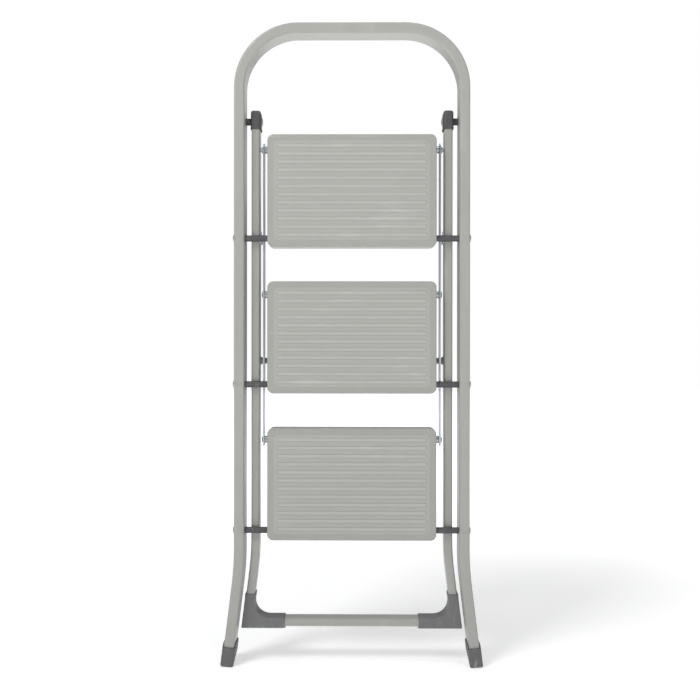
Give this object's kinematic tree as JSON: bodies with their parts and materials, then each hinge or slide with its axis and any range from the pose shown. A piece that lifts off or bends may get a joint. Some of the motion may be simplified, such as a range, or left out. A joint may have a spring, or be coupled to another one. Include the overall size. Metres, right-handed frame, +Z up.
{
  "type": "folding step ladder",
  "caption": "Folding steel household step ladder with treads between a bent-tube handle frame and a hinged rear frame, linked so that all treads fold flat together.",
  "frame": {"origin": "on the floor under the middle of the folded ladder, standing upright", "axes": "+X to the right across the ladder, +Y from the climbing side to the rear, +Z up"},
  "size_m": [0.4356, 0.0474, 1.068],
  "materials": {
    "frame_paint": "satin light warm grey enamel",
    "step_paint": "satin light warm grey enamel",
    "dark_plastic": "matte dark grey moulding",
    "grey_plastic": "matte mid grey moulding",
    "zinc": "bright zinc plate"
  },
  "bodies": {
    "front_frame": {"front_frame_tube": "frame_paint", "front_foot_left": "grey_plastic", "front_foot_right": "grey_plastic", "hinge_pin_left": "zinc", "hinge_pin_right": "zinc", "hinge_spacer_left": "dark_plastic", "hinge_spacer_right": "dark_plastic", "step_axle_bottom": "zinc", "step_axle_middle": "zinc", "step_axle_top": "zinc", "axle_sleeves_bottom": "dark_plastic", "axle_sleeves_middle": "dark_plastic", "axle_sleeves_top": "dark_plastic"},
    "rear_frame": {"rear_frame_tube": "frame_paint", "rear_crossbar": "frame_paint", "rear_cap_left": "dark_plastic", "rear_cap_right": "dark_plastic", "rear_shoe_left": "grey_plastic", "rear_shoe_right": "grey_plastic", "step_catch_left": "zinc", "step_catch_right": "zinc"},
    "bottom_step": {"step_bottom": "step_paint", "link_pins_bottom": "zinc", "link_washers_bottom": "zinc"},
    "middle_step": {"step_middle": "step_paint", "link_pins_middle": "zinc", "link_washers_middle": "zinc"},
    "top_step": {"step_top": "step_paint", "link_pins_top": "zinc", "link_washers_top": "zinc"},
    "left_link": {"link_bar_left": "zinc"},
    "right_link": {"link_bar_right": "zinc"}
  },
  "joints": [
    {"name": "rear_frame_hinge", "type": "hinge", "parent": "front_frame", "child": "rear_frame", "pos_m": [0, 0.0095, 0.91], "axis": [1, 0, 0], "range_deg": [0, 40.98]},
    {"name": "bottom_step_hinge", "type": "hinge", "parent": "front_frame", "child": "bottom_step", "pos_m": [0, -0.0095, 0.225], "axis": [-1, 0, 0], "range_deg": [0, 66.01]},
    {"name": "middle_step_hinge", "type": "hinge", "parent": "front_frame", "child": "middle_step", "pos_m": [0, -0.0095, 0.468], "axis": [-1, 0, 0], "range_deg": [0, 66.01]},
    {"name": "top_step_hinge", "type": "hinge", "parent": "front_frame", "child": "top_step", "pos_m": [0, -0.0095, 0.711], "axis": [-1, 0, 0], "range_deg": [0, 66.01]},
    {"name": "left_link_hinge", "type": "hinge", "parent": "middle_step", "child": "left_link", "pos_m": [-0.1475, 0.0025, 0.618], "axis": [1, 0, 0], "range_deg": [0, 66.01]},
    {"name": "right_link_hinge", "type": "hinge", "parent": "middle_step", "child": "right_link", "pos_m": [0.1475, 0.0025, 0.618], "axis": [1, 0, 0], "range_deg": [0, 66.01]}
  ],
  "couplings": [
    {"joint": "bottom_step_hinge", "follows": "rear_frame_hinge", "ratio": 1.6107},
    {"joint": "middle_step_hinge", "follows": "rear_frame_hinge", "ratio": 1.6107},
    {"joint": "top_step_hinge", "follows": "rear_frame_hinge", "ratio": 1.6107},
    {"joint": "left_link_hinge", "follows": "rear_frame_hinge", "ratio": 1.6107},
    {"joint": "right_link_hinge", "follows": "rear_frame_hinge", "ratio": 1.6107}
  ]
}
